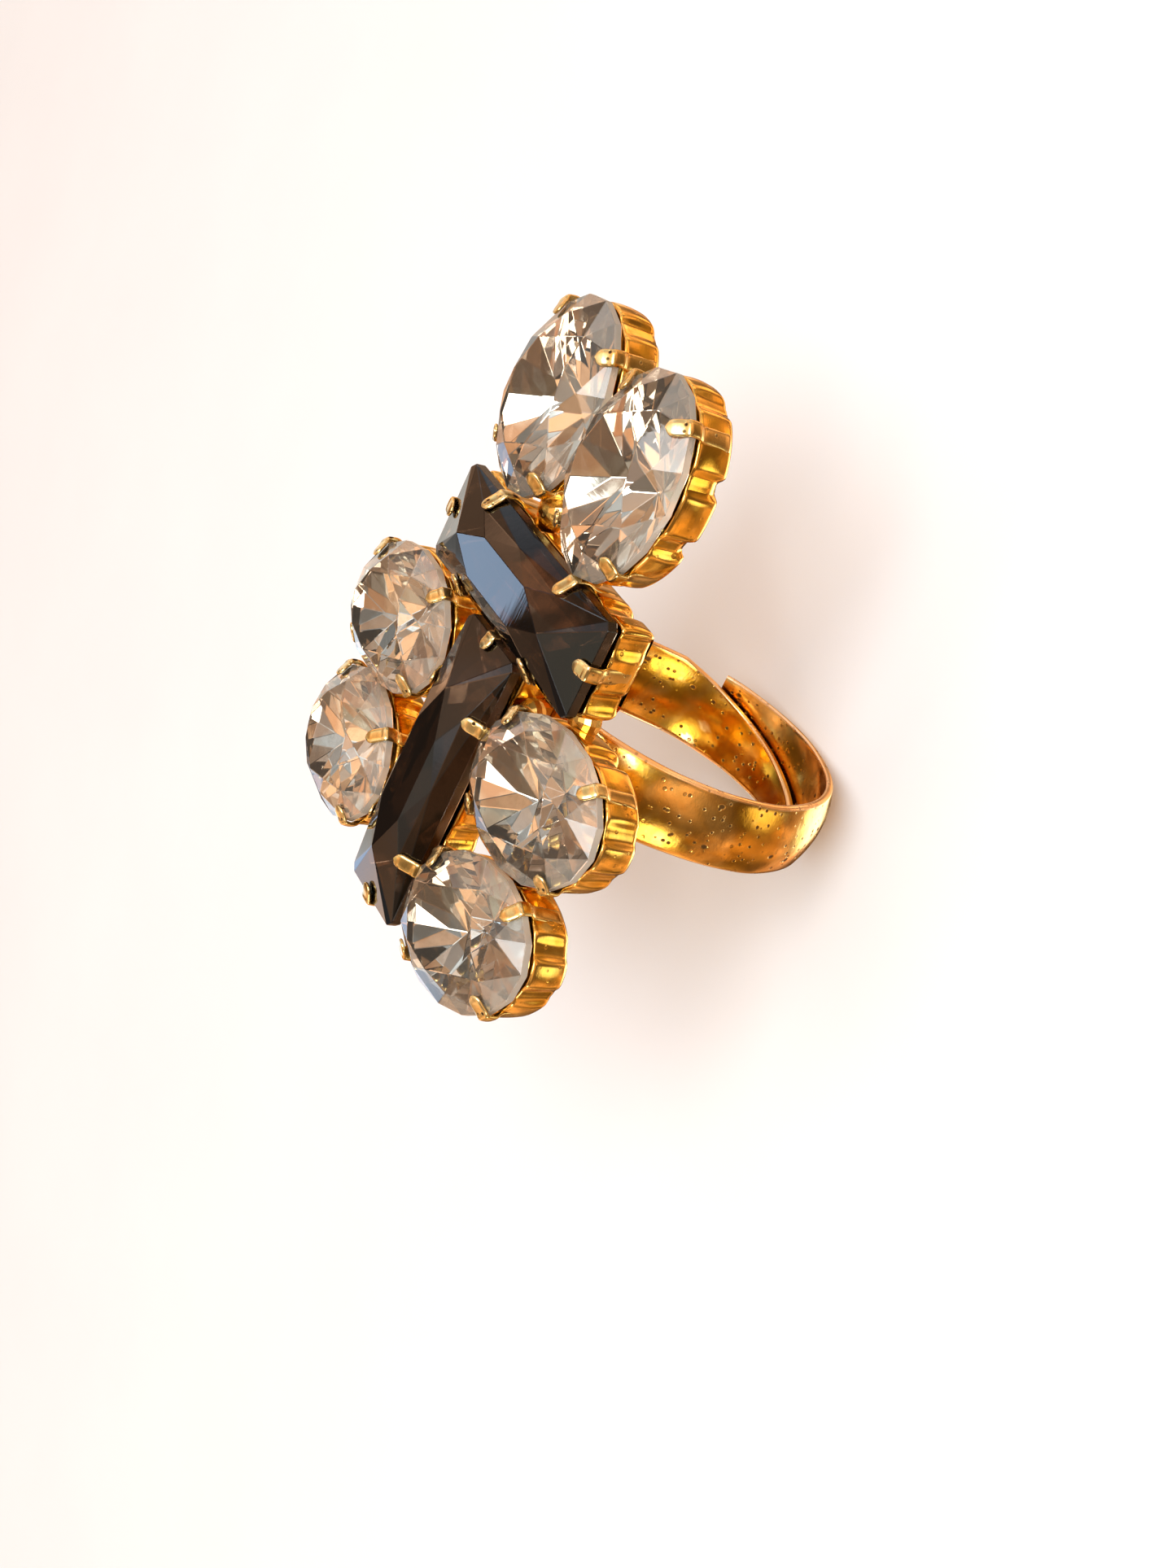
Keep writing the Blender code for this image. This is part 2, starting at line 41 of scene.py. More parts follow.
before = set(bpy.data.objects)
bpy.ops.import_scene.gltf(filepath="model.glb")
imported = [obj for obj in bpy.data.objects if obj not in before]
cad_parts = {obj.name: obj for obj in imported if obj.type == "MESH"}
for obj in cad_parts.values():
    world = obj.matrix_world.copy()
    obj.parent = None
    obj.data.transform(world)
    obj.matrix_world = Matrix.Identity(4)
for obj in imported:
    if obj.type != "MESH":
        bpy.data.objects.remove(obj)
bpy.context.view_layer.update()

# ---- sizes, as in the CAD model ----

OVAL_LENGTH = 14.0
OVAL_WIDTH = 10.0
OVAL_CROWN = 1.9
OVAL_PAVILION = 3.0
OVAL_GIRDLE = 0.5
OVAL_TABLE_RATIO = 0.56
OVAL_STAR_RATIO = 0.76
OVAL_LOWER_RATIO = 0.26

BAR_LENGTH = 21.0
BAR_WIDTH = 7.0
BAR_CROWN = 1.7
BAR_PAVILION = 2.8
BAR_GIRDLE = 0.7
BAR_CORNER = 0.45
BAR_TABLE_END = 4.2
BAR_TABLE_SHOULDER = 7.4
BAR_TABLE_HALF_WIDTH = 1.45
BAR_STEP_IN = 1.1
BAR_STEP_MIDDLE_IN = 0.935
BAR_STEP_UP = 1.05
BAR_STEP_END = 5.0
BAR_KEEL_END = 4.5
BAR_LOWER_IN = 1.3
BAR_LOWER_DROP = 1.3
BAR_LOWER_END = 6.5

CUP_DEPTH = 3.85
CUP_WALL = 0.30
CUP_INSET = 0.15
CUP_TAPER = 0.20
CUP_EDGE = 0.85
CUP_SEAT_GAP = 0.10
CUP_BAR_CORNER = 0.80
CHANNEL_RADIUS = 0.45
CHANNEL_FROM_MIDDLE = 2.2
BAR_CHANNEL_FROM_MIDDLE = 7.6

PRONG_WIDTH = 1.05
PRONG_THICKNESS = 0.30
PRONG_GAP = 0.08
PRONG_OVERLAP = 0.95
PRONG_FOOT = 0.55
OVAL_PRONG_ANGLES = (45, 135, 225, 315)
BAR_PRONG_FROM_MIDDLE = 5.4

HOLE_HALF_WIDTH = 10.95
HOLE_HALF_HEIGHT = 11.45
SHANK_WIDTH = 6.0
SHANK_THICKNESS = 0.55
SHANK_DOME = 0.70
SHANK_LEAN = 2.9
OUTER_ARM_END = -131.0
INNER_ARM_START = 120.0
INNER_ARM_END = 298.0
LAP_STEP_END = 205.0
SLANT_START = 212.0
TIP_WIDTH = 1.1
HEAD = Vector((-0.3, 9.45, 16.2354))

# ---- sizes of the looks alone ----

FACET_BEVEL = 0.035
OUTLINE_SAMPLES = 1440
CUP_POINTS = {"oval": 224, "bar": 288}
OVAL_FLUTES = (2.2, 7.7)
BAR_SIDE_FLUTES = (2.6, 7.6)
BAR_END_FLUTES = (2.1, 9.0)
FLUTE_HALF_WIDTHS = (0.30, 1.05)
FLUTE_DEPTH = 0.32
PANEL_SWELL = 0.17
RIM_DIP = 0.14
NICK_DEPTH = 0.42
NO_CHANNEL = 9.0
PRONG_SIDES = 14
# How far in the inner arm's end lies, a little less than in the CAD model
LAP = 0.78
# Where the visible band changes from one arm to the other
SEAM = 112.0
NEAR_ARM_NARROWING = 0.7
RIM_ROUND = 0.20
RIM_STEPS = 6
STEPS_ACROSS = 22
BAND_SEED = 1.0
FLOOR_HEIGHT = -12.85

# Each setting's cut, place in the head, turn in its plane, and two small tips
SETTINGS = {
    "crossbar": ("bar", 0.0, 0.0, 0.0, 0.0, 0.0, 0.0),
    "stem": ("bar", 0.0, -14.42, 0.0, 90.0, 0.0, 0.0),
    "upper_left": ("oval", -5.125, 11.05, 0.0, 86.0, -1.0, 1.0),
    "upper_right": ("oval", 5.125, 10.85, 0.1, 91.0, -3.0, 3.0),
    "mid_left": ("oval", -10.95, -9.0, 0.1, 8.0, 1.0, -3.0),
    "low_left": ("oval", -10.85, -19.25, -0.3, 1.0, -2.0, -8.0),
    "mid_right": ("oval", 10.95, -9.0, 0.0, 4.0, -4.0, 3.0),
    "low_right": ("oval", 10.85, -19.45, 0.2, 15.0, -3.0, 2.0),
}


def turned(degrees, axis):
    return Matrix.Rotation(math.radians(degrees), 4, axis)


def eased(value, start, end):
    share = min(max((value - start) / (end - start), 0.0), 1.0)
    return share * share * (3.0 - 2.0 * share)


def place_of(name):
    _, x, y, z, turn, tip_x, tip_y = SETTINGS[name]
    head = (HEAD + Vector((x, y, z))) * MM
    return Matrix.Translation(head) @ turned(tip_y, "Y") @ turned(tip_x, "X") @ turned(turn, "Z")


# ---- node helpers ----


class Nodes:
    """A short way to write a node tree."""

    def __init__(self, tree):
        self.tree = tree
        self.links = tree.links

    def put(self, socket, value):
        if isinstance(value, bpy.types.NodeSocket):
            self.links.new(value, socket)
        else:
            socket.default_value = value

    def add(self, kind, **settings):
        node = self.tree.nodes.new(kind)
        for key, value in settings.items():
            setattr(node, key, value)
        return node

    def maths(self, operation, first, second=0.0, clamp=False):
        node = self.add("ShaderNodeMath", operation=operation, use_clamp=clamp)
        self.put(node.inputs[0], first)
        self.put(node.inputs[1], second)
        return node.outputs[0]

    def ramp(self, value, stops):
        node = self.add("ShaderNodeValToRGB")
        band = node.color_ramp
        while len(band.elements) > 1:
            band.elements.remove(band.elements[-1])
        for k, (position, colour) in enumerate(stops):
            stop = band.elements[0] if k == 0 else band.elements.new(position)
            stop.position = position
            stop.color = (*colour, 1.0) if isinstance(colour, tuple) else (colour, colour, colour, 1.0)
        self.put(node.inputs[0], value)
        return node.outputs[0]

    def mix(self, factor, first, second, blend="MIX"):
        node = self.add("ShaderNodeMix", data_type="RGBA", blend_type=blend)
        self.put(node.inputs["Factor"], factor)
        colours = [s for s in node.inputs if s.type == "RGBA"]
        for socket, value in zip(colours, (first, second)):
            self.put(socket, (*value, 1.0) if isinstance(value, tuple) else value)
        return [s for s in node.outputs if s.type == "RGBA"][0]

    def noise(self, vector, scale, detail=3.0, roughness=0.55, distortion=0.0):
        node = self.add("ShaderNodeTexNoise")
        self.put(node.inputs["Vector"], vector)
        node.inputs["Scale"].default_value = scale
        node.inputs["Detail"].default_value = detail
        node.inputs["Roughness"].default_value = roughness
        node.inputs["Distortion"].default_value = distortion
        return node.outputs["Fac"]

    def spots(self, vector, scale, size):
        """1 inside small round spots, about one in each cell."""
        node = self.add("ShaderNodeTexVoronoi")
        self.put(node.inputs["Vector"], vector)
        node.inputs["Scale"].default_value = scale
        return self.ramp(node.outputs["Distance"], [(0.0, 1.0), (size * 0.6, 1.0), (size, 0.0)])

    def mapped(self, vector, scale=(1, 1, 1), turn=(0, 0, 0)):
        node = self.add("ShaderNodeMapping")
        self.put(node.inputs["Vector"], vector)
        node.inputs["Scale"].default_value = scale
        node.inputs["Rotation"].default_value = [math.radians(a) for a in turn]
        return node.outputs[0]


def new_material(name):
    material = bpy.data.materials.new(name)
    material.use_nodes = True
    tree = material.node_tree
    shader = tree.nodes["Principled BSDF"]
    return material, Nodes(tree), shader


# ---- materials ----

GOLD = (0.84, 0.47, 0.055)
PALE = (0.95, 0.72, 0.27)
BROWN = (0.20, 0.10, 0.018)
GLASS_IOR = 1.56


def gilt(name, rich, pale, dark, rough, wear, pits, blotch):
    """Old gilding: rich where it is not worn, pale where it is worn, tarnished in blotches, speckled and
    pitted, with painted shade darkening the hollows.
    """
    material, n, shader = new_material(name)
    place = n.add("ShaderNodeTexCoord").outputs["Object"]
    broad = n.noise(place, 190, 4.0, 0.6, 0.4)
    fine = n.noise(place, 1100, 5.0, 0.6)
    hammer = n.noise(place, 520, 2.0, 0.5, 0.3)
    point = n.add("ShaderNodeNewGeometry").outputs["Pointiness"]
    edge = n.ramp(point, [(0.0, 0.0), (0.50, 0.0), (0.58, 1.0)])
    # Painted shade: concave spots, found by pointiness, are marked to be darkened as if shade falls in
    # them
    painted_hollow_shade = n.ramp(point, [(0.0, 1.0), (0.42, 1.0), (0.49, 0.0)])

    worn = n.ramp(broad, [(0.0, 0.0), (0.46, 0.0), (0.66, 1.0)])
    worn = n.maths("MULTIPLY", worn, wear)
    worn = n.maths("ADD", worn, n.maths("MULTIPLY", edge, 0.55), clamp=True)
    colour = n.mix(worn, rich, pale)
    mottle = n.ramp(fine, [(0.0, 0.80), (0.5, 1.0), (1.0, 1.0)])
    colour = n.mix(0.5, colour, mottle, "MULTIPLY")

    tarnish_and_shade = n.noise(n.mapped(place, (1, 1, 1), (20, 35, 10)), 260, 6.0, 0.65, 0.8)
    tarnish_and_shade = n.ramp(tarnish_and_shade, [(0.0, 0.0), (0.56, 0.0), (0.70, 1.0)])
    tarnish_and_shade = n.maths("MULTIPLY", tarnish_and_shade, blotch)
    # The noise blotches are the metal's own tarnish; the hollow mask adds painted shade on top of them
    tarnish_and_shade = n.maths("ADD", tarnish_and_shade, n.maths("MULTIPLY", painted_hollow_shade, 0.5), clamp=True)
    colour = n.mix(tarnish_and_shade, colour, dark)

    field = n.ramp(n.noise(place, 300, 3.0), [(0.0, 0.0), (0.42, 0.0), (0.54, 1.0)])
    small = n.spots(place, 1700, 0.25)
    large = n.spots(n.mapped(place, (1, 1, 0.7), (0, 0, 30)), 620, 0.13)
    pit = n.maths("MAXIMUM", n.maths("MULTIPLY", small, field), large)
    pit = n.maths("MULTIPLY", pit, pits, clamp=True)
    colour = n.mix(pit, colour, (0.06, 0.035, 0.02))
    n.put(shader.inputs["Base Color"], colour)
    shader.inputs["Metallic"].default_value = 1.0

    shine = n.ramp(n.noise(place, 430, 4.0, 0.6), [(0.3, rough[0]), (0.7, rough[1])])
    shine = n.maths("ADD", shine, n.maths("MULTIPLY", tarnish_and_shade, 0.15))
    shine = n.maths("ADD", shine, n.maths("MULTIPLY", pit, 0.4), clamp=True)
    n.put(shader.inputs["Roughness"], shine)

    scratch = n.noise(n.mapped(place, (0.25, 1, 3), (25, 10, 55)), 2600, 3.0, 0.6)
    height = n.maths("ADD", n.maths("MULTIPLY", hammer, 0.9), n.maths("MULTIPLY", fine, 0.25))
    height = n.maths("ADD", height, n.maths("MULTIPLY", scratch, 0.12))
    height = n.maths("SUBTRACT", height, n.maths("MULTIPLY", pit, 1.4))
    relief = n.add("ShaderNodeBump")
    relief.inputs["Strength"].default_value = 0.55
    relief.inputs["Distance"].default_value = 0.00006
    n.put(relief.inputs["Height"], height)
    n.put(shader.inputs["Normal"], relief.outputs[0])
    return material


def glass(name, colour, rough, tint=None, milk=0.0):
    """Cut glass with faint polishing marks and finger grease."""
    material, n, shader = new_material(name)
    place = n.add("ShaderNodeTexCoord").outputs["Object"]
    cloud = n.noise(place, 240, 3.0, 0.5, 0.3)
    shade = n.ramp(cloud, [(0.25, tuple(c * 0.94 for c in colour)), (0.75, colour)])
    if tint:
        shade = n.mix(n.ramp(n.noise(place, 120, 2.0), [(0.35, 0.0), (0.7, 1.0)]), shade, tint)
    n.put(shader.inputs["Base Color"], shade)
    shader.inputs["Transmission Weight"].default_value = 1.0 - milk
    shader.inputs["IOR"].default_value = GLASS_IOR
    n.put(shader.inputs["Roughness"], n.ramp(cloud, [(0.35, rough[0]), (0.8, rough[1])]))
    marks = n.noise(n.mapped(place, (1, 0.12, 1), (10, 20, 40)), 2200, 2.0)
    relief = n.add("ShaderNodeBump")
    relief.inputs["Strength"].default_value = 0.05
    relief.inputs["Distance"].default_value = 0.00002
    n.put(relief.inputs["Height"], marks)
    n.put(shader.inputs["Normal"], relief.outputs[0])
    return material


def foil(name, colour, dark, deep):
    """The mirror coat on the back of a crystal: slightly crazed, darker where it has dulled."""
    material, n, shader = new_material(name)
    place = n.add("ShaderNodeTexCoord").outputs["Object"]
    tone = n.ramp(n.noise(place, 700, 4.0, 0.6), [(0.36, dark), (0.52, colour)])
    dull = n.noise(n.mapped(place, turn=(15, 40, 25)), 210, 2.0, 0.5, 0.4)
    dull = n.ramp(dull, [(0.47, 1.0), (0.55, 0.0)])
    tone = n.mix(dull, tone, deep)
    n.put(shader.inputs["Base Color"], tone)
    shader.inputs["Metallic"].default_value = 1.0
    n.put(shader.inputs["Roughness"], n.ramp(n.noise(place, 400, 3.0), [(0.4, 0.02), (0.8, 0.07)]))
    return material


cup_gilt = gilt("cup_gilt", GOLD, PALE, BROWN, rough=(0.10, 0.24), wear=0.45, pits=0.25, blotch=0.30)
prong_gilt = gilt(
    "prong_gilt",
    rich=(0.62, 0.42, 0.13),
    pale=(0.88, 0.72, 0.36),
    dark=(0.10, 0.07, 0.04),
    rough=(0.14, 0.30),
    wear=0.9,
    pits=1.0,
    blotch=0.45,
)
band_gilt = gilt(
    "band_gilt",
    rich=(0.68, 0.345, 0.030),
    pale=(0.93, 0.74, 0.34),
    dark=(0.12, 0.070, 0.022),
    rough=(0.10, 0.26),
    wear=0.45,
    pits=0.85,
    blotch=0.55,
)
# Painted highlight: the band's rims and end caps get a paler, more orange copy of its gilding that
# stands for the lit edge line; the wear, tarnish and pits on it are the metal's own
lit_rim_gilt = gilt(
    "lit_rim_gilt",
    rich=(0.90, 0.56, 0.24),
    pale=(0.97, 0.76, 0.50),
    dark=(0.20, 0.10, 0.05),
    rough=(0.20, 0.38),
    wear=0.7,
    pits=0.4,
    blotch=0.35,
)
solder_gilt = gilt(
    "solder_gilt",
    rich=(0.80, 0.45, 0.075),
    pale=PALE,
    dark=(0.10, 0.055, 0.02),
    rough=(0.14, 0.34),
    wear=0.4,
    pits=0.35,
    blotch=0.5,
)
clear_glass = glass("clear_glass", (0.63, 0.63, 0.565), rough=(0.0, 0.03), milk=0.05)
clear_ground = glass("clear_ground", (0.66, 0.64, 0.56), rough=(0.25, 0.40), milk=0.35)
clear_edge = glass("clear_edge", (0.66, 0.645, 0.57), rough=(0.02, 0.12), milk=0.24)
clear_foil = foil("clear_foil", (0.96, 0.93, 0.89), (0.84, 0.79, 0.72), (0.80, 0.66, 0.55))
smoky_glass = glass("smoky_glass", (0.075, 0.045, 0.028), rough=(0.0, 0.03), tint=(0.050, 0.032, 0.020))
smoky_ground = glass("smoky_ground", (0.09, 0.065, 0.05), rough=(0.20, 0.35))
smoky_foil = foil("smoky_foil", (0.88, 0.80, 0.74), (0.55, 0.46, 0.40), (0.10, 0.075, 0.06))
CRYSTAL_LOOKS = {
    "oval": [clear_glass, clear_ground, clear_foil, clear_edge],
    "bar": [smoky_glass, smoky_ground, smoky_foil],
}

# ---- pieces ----


def add_piece(name, mesh, matrix, materials):
    thing = bpy.data.objects.new(name, mesh)
    bpy.context.scene.collection.objects.link(thing)
    thing.matrix_world = matrix
    for material in materials:
        mesh.materials.append(material)
    return thing


def mesh_of(name, points, faces, slots=None):
    mesh = bpy.data.meshes.new(name)
    mesh.from_pydata([Vector(p) * MM for p in points], [], faces)
    if slots:
        mesh.polygons.foreach_set("material_index", slots)
    body = bmesh.new()
    body.from_mesh(mesh)
    bmesh.ops.recalc_face_normals(body, faces=body.faces)
    body.to_mesh(mesh)
    body.free()
    return mesh


def oval_stone():
    """Oval brilliant: table, 8 stars, 8 kites and 16 upper facets over 8 mains and 16 lower facets."""
    half_step = math.cos(math.pi / 8)
    top = OVAL_GIRDLE / 2
    kite_rise = OVAL_CROWN / (1.0 - OVAL_TABLE_RATIO)
    star_height = top + kite_rise * (1.0 - OVAL_STAR_RATIO * half_step)
    lower_height = -top - OVAL_PAVILION * (1.0 - OVAL_LOWER_RATIO * half_step)

    def ring(count, offset, ratio, height):
        angles = [2 * math.pi * (k + offset) / count for k in range(count)]
        a = ratio * OVAL_LENGTH / 2
        b = ratio * OVAL_WIDTH / 2
        return [(a * math.cos(t), b * math.sin(t), height) for t in angles]

    points = ring(8, 0.0, OVAL_TABLE_RATIO, top + OVAL_CROWN)
    points += ring(8, 0.5, OVAL_STAR_RATIO, star_height)
    points += ring(16, 0.0, 1.0, top) + ring(16, 0.0, 1.0, -top)
    points += ring(8, 0.5, OVAL_LOWER_RATIO, lower_height) + [(0.0, 0.0, -top - OVAL_PAVILION)]
    first = {"table": 0, "star": 8, "upper": 16, "lower": 32, "main": 48, "culet": 56}

    def at(kind, k):
        return first[kind] + k % (16 if kind in ("upper", "lower") else 8)

    faces = [tuple(range(8))]
    for k in range(8):
        g = 2 * k
        faces.append((at("table", k), at("table", k + 1), at("star", k)))
        faces.append((at("table", k), at("star", k - 1), at("upper", g), at("star", k)))
        faces.append((at("star", k), at("upper", g), at("upper", g + 1)))
        faces.append((at("star", k), at("upper", g + 1), at("upper", g + 2)))
        faces.append((at("main", k), at("lower", g), at("lower", g + 1)))
        faces.append((at("main", k), at("lower", g + 1), at("lower", g + 2)))
        faces.append((first["culet"], at("main", k - 1), at("lower", g), at("main", k)))
    slots = [0] + [slot for k in range(8) for slot in (0, 0, 3, 3, 2, 2, 2)]
    for k in range(16):
        faces.append((at("upper", k), at("upper", k + 1), at("lower", k + 1), at("lower", k)))
        slots.append(1)
    return mesh_of("oval_stone", points, faces, slots)


def bar_stone():
    """Stepped rectangle with pointed ends on its table and a keel at the back."""
    a = BAR_LENGTH / 2
    b = BAR_WIDTH / 2
    top = BAR_GIRDLE / 2
    points = []
    for sx in (-1, 1):
        for z in (top, -top):
            for sy in (-1, 1):
                points.append((sx * (a - BAR_CORNER), sy * b, z))
                points.append((sx * a, sy * (b - BAR_CORNER), z))
        points.append((sx * (a - BAR_TABLE_END), 0.0, top + BAR_CROWN))
        points.append((sx * (a - BAR_KEEL_END), 0.0, -top - BAR_PAVILION))
        for sy in (-1, 1):
            points.append((sx * (a - BAR_TABLE_SHOULDER), sy * BAR_TABLE_HALF_WIDTH, top + BAR_CROWN))
            points.append((sx * (a - BAR_STEP_END), sy * (b - BAR_STEP_IN), top + BAR_STEP_UP))
            points.append((sx * (a - BAR_LOWER_END), sy * (b - BAR_LOWER_IN), -top - BAR_LOWER_DROP))
    for sy in (-1, 1):
        points.append((0.0, sy * (b - BAR_STEP_MIDDLE_IN), top + BAR_STEP_UP))
    body = bmesh.new()
    for point in points:
        body.verts.new(Vector(point) * MM)
    found = bmesh.ops.convex_hull(body, input=body.verts)
    inside = [item for item in found["geom_interior"] if isinstance(item, bmesh.types.BMVert)]
    bmesh.ops.delete(body, geom=inside, context="VERTS")
    bmesh.ops.dissolve_limit(body, angle_limit=math.radians(0.2), verts=body.verts, edges=body.edges)
    bmesh.ops.recalc_face_normals(body, faces=body.faces)
    for face in body.faces:
        if abs(face.normal.z) < 0.05:
            face.material_index = 1
        elif face.normal.z < 0:
            face.material_index = 2
    mesh = bpy.data.meshes.new("bar_stone")
    body.to_mesh(mesh)
    body.free()
    return mesh


def outline(cut, count):
    """Evenly spaced points on the outline, each with its outward normal and its distance along the
    outline, and the outline's whole length."""
    dense = []
    if cut == "oval":
        a = OVAL_LENGTH / 2
        b = OVAL_WIDTH / 2
        for k in range(OUTLINE_SAMPLES):
            t = 2 * math.pi * k / OUTLINE_SAMPLES
            away = Vector((math.cos(t) / a, math.sin(t) / b)).normalized()
            dense.append((Vector((a * math.cos(t), b * math.sin(t))), away))
    else:
        a = BAR_LENGTH / 2 - CUP_BAR_CORNER
        b = BAR_WIDTH / 2 - CUP_BAR_CORNER
        for quarter, (sx, sy) in enumerate(((1, 1), (-1, 1), (-1, -1), (1, -1))):
            for k in range(91):
                t = math.radians(90 * quarter + k)
                away = Vector((math.cos(t), math.sin(t)))
                dense.append((Vector((sx * a, sy * b)) + away * CUP_BAR_CORNER, away))
    loop = dense + dense[:1]
    walk = [0.0]
    for here, after in zip(loop, loop[1:]):
        walk.append(walk[-1] + (after[0] - here[0]).length)
    found = []
    k = 0
    for step in range(count):
        target = walk[-1] * step / count
        while walk[k + 1] < target:
            k += 1
        share = (target - walk[k]) / max(walk[k + 1] - walk[k], 1e-9)
        point = loop[k][0].lerp(loop[k + 1][0], share)
        away = loop[k][1].lerp(loop[k + 1][1], share).normalized()
        found.append((point, away, target))
    return found, walk[-1]


def prong_feet(cut):
    """Where each prong stands on the girdle, which way is out, and how steeply the crown rises."""
    if cut == "oval":
        a = OVAL_LENGTH / 2
        b = OVAL_WIDTH / 2
        feet = []
        for degrees in OVAL_PRONG_ANGLES:
            t = math.radians(degrees)
            steep = Vector((math.cos(t) / a, math.sin(t) / b, 0.0))
            slope = steep.length * OVAL_CROWN / (1.0 - OVAL_TABLE_RATIO)
            feet.append((Vector((a * math.cos(t), b * math.sin(t), 0.0)), steep.normalized(), slope))
        return feet
    feet = []
    for sign in (-1, 1):
        for x in (-BAR_PRONG_FROM_MIDDLE, BAR_PRONG_FROM_MIDDLE):
            foot = Vector((x, sign * BAR_WIDTH / 2, 0))
            feet.append((foot, Vector((0, sign, 0)), BAR_STEP_UP / BAR_STEP_IN))
        foot = Vector((sign * BAR_LENGTH / 2, 0, 0))
        feet.append((foot, Vector((sign, 0, 0)), BAR_CROWN / BAR_TABLE_END))
    return feet


def rim_height(cut):
    """The cup's rim, just under the crystal's back."""
    girdle = OVAL_GIRDLE if cut == "oval" else BAR_GIRDLE
    slope = OVAL_PAVILION / (OVAL_WIDTH / 2) if cut == "oval" else 1.0
    return -girdle / 2 - slope * (CUP_INSET + CUP_WALL) - CUP_SEAT_GAP


def cup_profile(rim):
    """The bowl's section from its base over the rim to its floor: inset, height and share of fluting."""
    levels = []
    middle = CUP_INSET + CUP_TAPER + CUP_EDGE
    for degrees in range(0, 91, 10):
        t = math.radians(degrees)
        height = -CUP_DEPTH + CUP_EDGE * (1 - math.cos(t))
        levels.append((middle - CUP_EDGE * math.sin(t), height, 0.55 + 0.45 * degrees / 90))
    for k in range(1, 8):
        share = k / 8
        height = -CUP_DEPTH + CUP_EDGE + (rim + CUP_DEPTH - CUP_EDGE) * share
        levels.append((CUP_INSET + CUP_TAPER * (1 - share), height, 1.0))
    levels.append((CUP_INSET + 0.02, rim - 0.08, 0.9))
    levels.append((CUP_INSET + 0.07, rim - 0.015, 0.8))
    levels.append((CUP_INSET + 0.15, rim, 0.7))
    levels.append((CUP_INSET + 0.24, rim - 0.02, 0.6))
    levels.append((CUP_INSET + CUP_WALL, rim - 0.09, 0.5))
    levels.append((CUP_INSET + CUP_WALL + 0.06, rim - 0.6, 0.2))
    levels.append((CUP_INSET + CUP_WALL + 0.12, -2.4, 0.0))
    levels.append((CUP_INSET + CUP_WALL + 0.45, -3.1, 0.0))
    levels.append((CUP_INSET + CUP_WALL + 0.9, -3.32, 0.0))
    return levels


def cup_body(cut, seed):
    """The stamped bowl: fluted wall, rolled base edge, and nicks where the channels leave the back."""
    chance = random.Random(seed)
    count = CUP_POINTS[cut]
    ring, around = outline(cut, count)
    rim = rim_height(cut)
    feet = [foot.xy for foot, _, _ in prong_feet(cut)]
    shift = chance.uniform(-0.12, 0.12)
    quarter = around / 4

    def flute(point, walk):
        """How deep the wall is pressed in, 0 on a panel and 1 in a flute, and 1 at a channel's exit."""
        if cut == "oval":
            along = abs((walk + shift) % (2 * quarter) - quarter)
            grooves = OVAL_FLUTES
            channel = abs(along - CHANNEL_FROM_MIDDLE)
        elif abs(point.y) > BAR_WIDTH / 2 - 0.1:
            along = abs(point.x + shift)
            grooves = BAR_SIDE_FLUTES
            channel = abs(along - BAR_CHANNEL_FROM_MIDDLE)
        else:
            along = abs(point.y + shift)
            grooves = BAR_END_FLUTES
            channel = NO_CHANNEL
        groove = 1.0 - eased(min(abs(along - g) for g in grooves), *FLUTE_HALF_WIDTHS)
        groove *= 0.75 + 0.35 * noise.noise(Vector((point.x * 0.6, point.y * 0.6, seed * 3.0)))
        clear = min((point - foot).length for foot in feet)
        return groove * eased(clear, 0.60, 1.05), 1.0 - eased(channel, 0.30, 0.80)

    levels = cup_profile(rim)
    points = []
    for inset, height, share in levels:
        for point, away, walk in ring:
            press, nick = flute(point, walk)
            press *= share
            nick *= NICK_DEPTH * (1.0 - eased(height, -CUP_DEPTH + 0.3, -CUP_DEPTH + 1.3))
            wave = 0.035 * noise.noise(Vector((point.x * 0.5, point.y * 0.5, height * 0.4 + seed * 7.0)))
            climb = min(max((height + CUP_DEPTH) / (rim + CUP_DEPTH), 0.0), 1.0)
            swell = PANEL_SWELL * math.sin(math.pi * climb) * (1.0 - press)
            place = point - away * (inset + FLUTE_DEPTH * press + nick + (wave - swell) * share)
            dip = RIM_DIP * press if height > rim - 0.2 else 0.0
            points.append((place.x, place.y, height - dip))
    faces = []
    for row in range(len(levels) - 1):
        for k in range(count):
            a = row * count + k
            b = row * count + (k + 1) % count
            faces.append((a, b, b + count, a + count))
    faces.append(tuple(range(count)))
    faces.append(tuple(range(len(points) - count, len(points))))
    return mesh_of("cup", points, faces)


def grooved(mesh, cut):
    """The bowl with its two thread channels pressed into the back."""
    body = bmesh.new()
    body.from_mesh(mesh)
    off_middle = CHANNEL_FROM_MIDDLE if cut == "oval" else BAR_CHANNEL_FROM_MIDDLE
    for middle in (-off_middle, off_middle):
        for degrees in range(0, 181, 15):
            side = middle + CHANNEL_RADIUS * math.cos(math.radians(degrees))
            everything = list(body.verts) + list(body.edges) + list(body.faces)
            bmesh.ops.bisect_plane(
                body, geom=everything, dist=1e-8, plane_co=(side * MM, 0, 0), plane_no=(1, 0, 0)
            )
        for vert in body.verts:
            off = vert.co.x / MM - middle
            if abs(off) < CHANNEL_RADIUS:
                roof = -CUP_DEPTH + math.sqrt(CHANNEL_RADIUS**2 - off**2)
                vert.co.z = max(vert.co.z, roof * MM)
    result = bpy.data.meshes.new("cup")
    body.to_mesh(result)
    body.free()
    return result


def smooth_path(path, steps):
    """Catmull-Rom through the points."""
    found = []
    ends = [path[0] * 2 - path[1]] + path + [path[-1] * 2 - path[-2]]
    for k in range(1, len(ends) - 2):
        p0, p1, p2, p3 = ends[k - 1 : k + 3]
        for s in range(steps):
            t = s / steps
            square = (2 * p0 - 5 * p1 + 4 * p2 - p3) * t * t
            cube = (3 * p1 - p0 - 3 * p2 + p3) * t**3
            found.append(0.5 * (2 * p1 + (p2 - p0) * t + square + cube))
    return found + [path[-1]]


